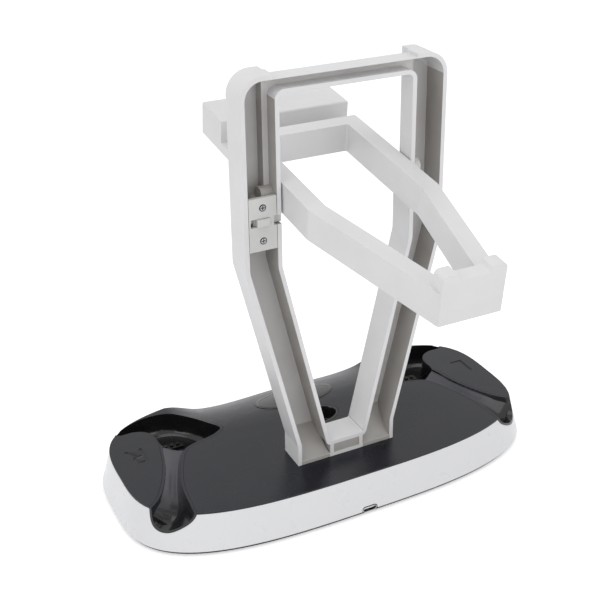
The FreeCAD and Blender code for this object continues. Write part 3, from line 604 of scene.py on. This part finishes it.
class StudioSettings(bpy.types.PropertyGroup):
    """Camera, lamps and floor."""

    camera_place: FloatVectorProperty(
        name="Camera place", description="Where the camera stands", subtype="XYZ", unit="LENGTH",
        default=(-0.2650, -0.5015 + UPRIGHT_Y, 0.4189))
    camera_turn: FloatProperty(
        name="Camera turn", description="Angle of the view round the object", subtype="ANGLE",
        default=math.radians(-27.66))
    camera_dip: FloatProperty(
        name="Camera dip", description="Angle of the view below level", subtype="ANGLE",
        default=math.radians(24.31))
    lens: FloatProperty(
        name="Lens", description="Focal length for a 36 mm sensor", unit="CAMERA", default=68.15)
    shift: FloatVectorProperty(
        name="Shift", description="The photo's crop off the optical axis", size=2,
        default=(-0.0603, -0.1097))
    floor_colour: FloatVectorProperty(
        name="Floor colour", description="Colour of the floor", subtype="COLOR",
        default=(0.90, 0.90, 0.905))
    floor_glow: FloatProperty(
        name="Floor glow", description="Light that the floor adds where it is seen",
        default=0.42)
    sky_colour: FloatVectorProperty(
        name="Sky colour", description="Colour of the plain light from all round",
        subtype="COLOR", default=(0.98, 0.985, 1.0))
    sky_strength: FloatProperty(
        name="Sky strength", description="Plain light from all round", default=0.66)
    key_power: FloatProperty(
        name="Key power", description="Power of the large soft lamp overhead", unit="POWER",
        default=4.6)
    side_power: FloatProperty(
        name="Side power", description="Power of the soft lamp on the left", unit="POWER",
        default=2.6)
    fill_power: FloatProperty(
        name="Fill power", description="Power of the soft lamp at the rear, on the right",
        unit="POWER", default=3.2)


class MouldingSettings(bpy.types.PropertyGroup):
    """Rounding of the moulded edges."""

    frame_edge: FloatProperty(
        name="Frame edge", description="Edge radius of the upright and the arm", unit="LENGTH",
        default=0.45 * MM)
    shell_edge: FloatProperty(
        name="Shell edge", description="Edge radius of the base's mouldings", unit="LENGTH",
        default=0.25 * MM)
    liner_edge: FloatProperty(
        name="Liner edge", description="Edge radius of the cradles", unit="LENGTH",
        default=0.7 * MM)
    small_edge: FloatProperty(
        name="Small edge", description="Edge radius of the latch's pieces", unit="LENGTH",
        default=0.2 * MM)
    edge_steps: IntProperty(
        name="Edge steps", description="Segments in the edges of the upright, arm and latch",
        default=2, min=1, max=4)


class LetterSettings(bpy.types.PropertyGroup):
    """The side marks in the two lobes."""

    height: FloatProperty(
        name="Letter height", description="Height of the side marks", unit="LENGTH",
        default=14.7 * MM)
    depth: FloatProperty(
        name="Letter depth", description="Depth of the side marks", unit="LENGTH",
        default=0.6 * MM)
    thinning: FloatProperty(
        name="Letter thinning", description="How much the strokes lose on each side",
        unit="LENGTH", default=0.04 * MM)
    right_mark: FloatVectorProperty(
        name="Right mark", description="Middle of the R", subtype="XYZ", unit="LENGTH",
        default=(-0.111, 0.0445 + UPRIGHT_Y, COVER_TOP))
    left_mark: FloatVectorProperty(
        name="Left mark", description="Middle of the L", subtype="XYZ", unit="LENGTH",
        default=(0.1145, 0.0425 + UPRIGHT_Y, COVER_TOP))


# Operators


class STATION_OT_studio(bpy.types.Operator):
    """Set up the camera, the lamps, the sky and the floor"""

    bl_idname = "station.studio"
    bl_label = "Studio"

    def execute(self, context):
        settings = context.scene.studio
        self.camera(context, settings)
        self.floor(settings)
        self.sky(context, settings)
        for name, place, aim, width, power in LAMPS:
            self.lamp(name, Vector(place), Vector(aim), width, getattr(settings, power))
        context.scene.view_settings.view_transform = "Standard"
        return {"FINISHED"}

    def camera(self, context, settings):
        """The camera at the photo's viewing angle."""
        bpy.ops.object.camera_add(
            location=settings.camera_place,
            rotation=(math.pi / 2 - settings.camera_dip, 0.0, settings.camera_turn))
        camera = context.object
        camera.name = "photo_camera"
        camera.data.sensor_width = SENSOR_WIDTH
        camera.data.lens = settings.lens
        camera.data.shift_x, camera.data.shift_y = settings.shift
        camera.data.clip_start, camera.data.clip_end = CAMERA_RANGE
        context.scene.camera = camera

    def lamp(self, name, place, aim, width, power):
        """A soft round lamp that faces a point."""
        turn = (place - aim).to_track_quat("Z", "Y").to_euler()
        bpy.ops.object.light_add(type="AREA", location=place, rotation=turn)
        lamp = bpy.context.object
        lamp.name = name
        lamp.data.shape = "DISK"
        lamp.data.size = width
        lamp.data.energy = power

    def floor(self, settings):
        """A pale floor that keeps the object's shadow and glows only where it is seen."""
        bpy.ops.mesh.primitive_plane_add(size=FLOOR_SIZE, location=FLOOR_MIDDLE)
        floor = bpy.context.object
        floor.name = "floor"
        finish = Finish("floor_paper")
        fibre = finish.noise(90.0, 3.0)
        glow = finish.add("ShaderNodeEmission", {}, WHITE, settings.floor_glow)
        none = finish.add("ShaderNodeEmission", {}, BLACK, 0.0)
        seen = finish.add("ShaderNodeMixShader", {}, finish.backdrop_rays(), none, glow)
        finish.put(finish.surface, finish.add("ShaderNodeAddShader", {}, finish.shader, seen))
        floor.data.materials.append(finish.done(
            Base_Color=tuple(settings.floor_colour), Roughness=0.9, Specular_IOR_Level=0.0,
            Normal=finish.bump(fibre, 0.00005)))

    def sky(self, context, settings):
        """Plain light from all round, seen as white."""
        world = bpy.data.worlds.new("studio_sky")
        context.scene.world = world
        graph = Graph(world, "ShaderNodeOutputWorld")
        light = graph.add("ShaderNodeBackground", {}, tuple(settings.sky_colour),
                          settings.sky_strength)
        white = graph.add("ShaderNodeBackground", {}, WHITE, 1.0)
        graph.put(graph.surface,
                  graph.add("ShaderNodeMixShader", {}, graph.backdrop_rays(), light, white))


class STATION_OT_upright(bpy.types.Operator):
    """Round the upright's edges, paint shade on the inside of its channel and fill its feet"""

    bl_idname = "station.upright"
    bl_label = "Upright frame"

    def execute(self, context):
        edges = context.scene.moulding
        piece = welded_copy("upright_frame", "upright_moulding")
        rounded(piece, edges.frame_edge, edges.edge_steps)
        dress(piece, "pale_plastic", "stand", "upright_frame")
        self.shade_channel(piece)
        for side, name in ((1.0, "foot_ramp_right"), (-1.0, "foot_ramp_left")):
            self.foot_block(name, [side * x for x in RAMP_FOOT], [side * x for x in RAMP_HEAD],
                            RAMP_LIP, RAMP_RISE, -RAMP_PROUD)
        self.foot_block("foot_panel", PANEL_SIDES, PANEL_SIDES, PANEL_RISE, PANEL_RISE,
                        PANEL_INSET)
        return {"FINISHED"}

    def shade_channel(self, piece):
        """Paint shade on the faces inside the two columns' open channel: lighter on the web,
        darker on the walls, the pin's boss and the ledge.
        """
        tree = surface_tree(piece)
        pin_low, pin_high = corners("hinge_pin_left")

        def inside(at):
            return (at.z < UPRIGHT_HIGH.z - CHANNEL_TOP
                    and UPRIGHT_LOW.y + CHANNEL_RIM < at.y < UPRIGHT_HIGH.y - CHANNEL_RIM)

        def web(at, normal):
            return inside(at) and normal.y < -0.5

        def wall(at, normal):
            if not inside(at) or abs(normal.y) > 0.5:
                return False
            return tree.ray_cast(at + normal * RAY_START, normal, CHANNEL_WIDTH)[0] is not None

        def boss(at, normal):
            return (inside(at) and pin_low.z - BOSS_WALL < at.z < pin_high.z + BOSS_WALL
                    and at.x < 0.0 and normal.z > 0.1)

        def ledge(at, normal):
            return inside(at) and normal.z > 0.5 and at.z < COVER_TOP + LEDGE_REACH

        # Painted shade: a lighter one on the web, a darker one on the walls, the boss and the
        # ledge
        paint(piece, "web_plastic", web)
        for test in (wall, boss, ledge):
            paint(piece, "channel_plastic", test)

    def foot_block(self, name, foot, head, lip, rise, inset):
        """A block at the foot of the channel whose top sweeps up from the rear to the web."""
        bpy.ops.mesh.primitive_cube_add(size=2.0)
        piece = bpy.context.object
        piece.name = piece.data.name = name
        with editing(piece):
            bpy.ops.mesh.subdivide(number_cuts=FOOT_CUTS)
        rear, front = UPRIGHT_LOW.y + inset, UPRIGHT_HIGH.y - WEB
        for corner in piece.data.vertices:
            across, deep, up = ((c + 1) / 2 for c in corner.co)
            height = (lip + (rise - lip) * deep ** RAMP_SWEEP) * up
            share = height / RAMP_RISE
            left = foot[0] + (head[0] - foot[0]) * share
            right = foot[1] + (head[1] - foot[1]) * share
            corner.co = (left + (right - left) * across, rear + (front - rear) * deep,
                         COVER_TOP + height)
        face_outwards(piece)
        rounded(piece, FOOT_EDGE, FOOT_STEPS, CURVED_ANGLES)
        # The block takes the channel's darker painted shade
        dress(piece, "channel_plastic", "stand")


class STATION_OT_arm(bpy.types.Operator):
    """Round the swing arm's edges"""

    bl_idname = "station.arm"
    bl_label = "Swing arm"

    def execute(self, context):
        edges = context.scene.moulding
        piece = welded_copy("swing_arm", "arm_moulding", 0.0)
        rounded(piece, edges.frame_edge, edges.edge_steps)
        dress(piece, "pale_plastic", "arm", "swing_arm")
        return {"FINISHED"}


class STATION_OT_base(bpy.types.Operator):
    """Finish the skirt, the covers, the cradles and the bottom plate"""

    bl_idname = "station.base"
    bl_label = "Base"

    def execute(self, context):
        edges = context.scene.moulding
        for node, slot in BASE_MOULDINGS:
            piece = welded_copy(node, node + "_moulding")
            if node.startswith("cradle"):
                rounded(piece, edges.liner_edge, LINER_STEPS)
                dress(piece, "cradle_gloss", "stand", node)
                paint(piece, "cover_plastic", lambda at, normal: at.z > COVER_TOP - RIM_BAND)
            else:
                rounded(piece, edges.shell_edge, SHELL_STEPS)
                dress(piece, slot, "stand", node)
        self.badge_border()
        return {"FINISHED"}

    def badge_border(self):
        """A fine raised border round the blank badge, laid on its crown."""
        low, high = corners("oval_badge")
        place = (low + high) / 2
        tree = surface_tree(bpy.data.objects["oval_badge_moulding"])
        bpy.ops.mesh.primitive_torus_add(location=place, major_radius=(high.x - low.x) / 2,
                                         minor_radius=BORDER_WIRE,
                                         major_segments=BORDER_ROUND,
                                         minor_segments=BORDER_SECTION)
        piece = bpy.context.object
        piece.name = piece.data.name = "badge_border"
        piece.scale = (BORDER_SHARE, BORDER_SHARE * (high.y - low.y) / (high.x - low.x), 1.0)
        apply_place(piece)
        for corner in piece.data.vertices:
            above = Vector((corner.co.x, corner.co.y, 1.0))
            crown = tree.ray_cast(above, DOWN)[0]
            corner.co.z += crown.z - place.z - BORDER_WIRE * BORDER_SINK
        bpy.ops.object.shade_smooth()
        dress(piece, "badge_plastic", "stand")


class STATION_OT_troughs(bpy.types.Operator):
    """Lay the broad floor in each cradle's trough, less polished away from the rim, where its
    lighter colour is a painted sheen
    """

    bl_idname = "station.troughs"
    bl_label = "Trough floors"

    def execute(self, context):
        right = self.floor_piece("trough_floor_right")
        left = right.copy()
        left.data = right.data.copy()
        left.name = left.data.name = "trough_floor_left"
        context.scene.collection.objects.link(left)
        left.scale.x = -1.0
        apply_place(left)
        face_outwards(left)
        for piece in (right, left):
            dress(piece, "trough_satin", "stand")
        return {"FINISHED"}

    def floor_piece(self, name):
        """A grid laid through the stations, given a wall below and rounded edges."""
        bpy.ops.mesh.primitive_grid_add(x_subdivisions=FLOOR_ACROSS, y_subdivisions=FLOOR_ALONG,
                                        size=1.0)
        piece = bpy.context.object
        piece.name = piece.data.name = name
        for corner in piece.data.vertices:
            share, way = corner.co.x + 0.5, 0.5 - corner.co.y
            near = Vector([between([s[0][k] for s in TROUGH_FLOOR], way) for k in (0, 1)])
            far = Vector([between([s[1][k] for s in TROUGH_FLOOR], way) for k in (0, 1)])
            depth = between([s[2] for s in TROUGH_FLOOR], way) * along(FLOOR_PROFILE, share)
            point = near.lerp(far, share) * MM
            corner.co = (point.x, point.y + UPRIGHT_Y, COVER_TOP - depth * MM)
        face_outwards(piece)
        if piece.data.polygons[0].normal.z < 0:
            piece.data.flip_normals()
        modify(piece, "SOLIDIFY", thickness=FLOOR_WALL, offset=-1.0)
        rounded(piece, FLOOR_EDGE, FLOOR_STEPS, CURVED_ANGLES)
        return piece


class STATION_OT_marks(bpy.types.Operator):
    """Engrave the side marks L and R in the two lobes"""

    bl_idname = "station.marks"
    bl_label = "Side marks"

    def execute(self, context):
        marks = context.scene.letters
        for text, mark, side in (("R", marks.right_mark, "left"), ("L", marks.left_mark, "right")):
            cover = bpy.data.objects[f"side_cover_{side}_moulding"]
            self.engrave(text, Vector(mark), cover, marks)
        return {"FINISHED"}

    def engrave(self, text, mark, cover, marks):
        """Cut one letter's solid out of a lobe and give its groove matt black as painted shade."""
        bpy.ops.object.text_add(location=(mark.x, mark.y, COVER_TOP), rotation=(0, 0, math.pi))
        letter = bpy.context.object
        letter.data.body = text
        letter.data.align_x, letter.data.align_y = "CENTER", "CENTER"
        letter.data.size = marks.height / CAPITAL_SHARE
        letter.data.offset = -marks.thinning
        letter.data.extrude = marks.depth
        letter.data.resolution_u = LETTER_STEPS
        bpy.ops.object.convert(target="MESH")
        apply_place(letter)
        modify(cover, "BOOLEAN", object=letter, operation="DIFFERENCE", solver="EXACT")
        mesh = letter.data
        bpy.data.objects.remove(letter)
        bpy.data.meshes.remove(mesh)
        top, bottom = (COVER_TOP - marks.depth * share for share in (GROOVE_START, GROOVE_END))
        # The groove's faces get the plate's matt black as painted shade in the engraving
        paint(cover, "plate_plastic", lambda at, normal: bottom < at.z < top
              and (at - mark).xy.length < marks.height)
        with editing(cover):
            bpy.ops.mesh.remove_doubles(threshold=WELD_DISTANCE)
            bpy.ops.mesh.dissolve_degenerate(threshold=WELD_DISTANCE)
            bpy.ops.mesh.fill_holes(sides=HOLE_SIDES)
        smoothed(cover, PLAIN_ANGLES[1])


class STATION_OT_latch(bpy.types.Operator):
    """Finish the latch's plate, catch, spring and screws"""

    bl_idname = "station.latch"
    bl_label = "Latch"

    def execute(self, context):
        edges = context.scene.moulding
        for node, body in (("latch_cover", "stand"), ("latch_slider", "latch")):
            piece = welded_copy(node, node + "_moulding")
            rounded(piece, edges.small_edge, edges.edge_steps)
            dress(piece, "latch_plastic", body, node)
        dress(NODES["latch_screws"], "screw_steel")
        self.spring()
        return {"FINISHED"}

    def spring(self):
        """The spring, finished in steel and shaded smooth on a mesh of its own; the catch's travel
        is read but does not shape it.
        """
        low, high = corners("latch_spring")
        travel = next(j["range_m"][1] for j in frame["joints"] if j["name"] == "latch_slide")
        length = high.x - low.x
        piece = welded_copy("latch_spring", "spring_coil", 0.0)
        bpy.ops.object.shade_smooth_by_angle(angle=math.radians(COIL_ANGLE))
        dress(piece, "steel", "stand", "latch_spring")
        SPRING_SLACK * (length - travel) / length
        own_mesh(piece)


class STATION_OT_fittings(bpy.types.Operator):
    """Finish the feet, screws, pins, board, inlet and contacts"""

    bl_idname = "station.fittings"
    bl_label = "Fittings"

    def execute(self, context):
        for node, finish in (("foot_pads", "foot_rubber"), ("base_screws", "steel"),
                             ("upright_screws", "steel"), ("hinge_pin_left", "steel"),
                             ("hinge_pin_right", "steel"), ("charging_board", "board_laminate"),
                             ("inlet_socket", "steel"), ("contacts_left", "contact_metal"),
                             ("contacts_right", "contact_metal")):
            dress(NODES[node], finish)
        return {"FINISHED"}


OPERATORS = (STATION_OT_studio, STATION_OT_upright, STATION_OT_arm, STATION_OT_base,
             STATION_OT_troughs, STATION_OT_marks, STATION_OT_latch, STATION_OT_fittings)


class STATION_PT_panel(bpy.types.Panel):
    """Lists the station's operators and settings"""

    bl_label = "Charging station"
    bl_space_type = "VIEW_3D"
    bl_region_type = "UI"
    bl_category = "Station"

    def draw(self, context):
        for operator in OPERATORS:
            self.layout.operator(operator.bl_idname)
        for group in (context.scene.studio, context.scene.moulding, context.scene.letters):
            for name in group.bl_rna.properties.keys():
                if name not in ("rna_type", "name"):
                    self.layout.prop(group, name)


GROUPS = {"studio": StudioSettings, "moulding": MouldingSettings, "letters": LetterSettings}


def register():
    """Make the settings, operators and panel known."""
    for name, group in GROUPS.items():
        bpy.utils.register_class(group)
        setattr(bpy.types.Scene, name, PointerProperty(type=group))
    for operator in OPERATORS:
        bpy.utils.register_class(operator)
    bpy.utils.register_class(STATION_PT_panel)


def unregister():
    """Take them away again."""
    bpy.utils.unregister_class(STATION_PT_panel)
    for operator in reversed(OPERATORS):
        bpy.utils.unregister_class(operator)
    for name, group in GROUPS.items():
        delattr(bpy.types.Scene, name)
        bpy.utils.unregister_class(group)


def main():
    """Dress the whole station."""
    register()
    bpy.ops.station.studio()
    bpy.ops.station.upright()
    bpy.ops.station.arm()
    bpy.ops.station.base()
    bpy.ops.station.troughs()
    bpy.ops.station.marks()
    bpy.ops.station.latch()
    bpy.ops.station.fittings()


if __name__ == "__main__":
    main()
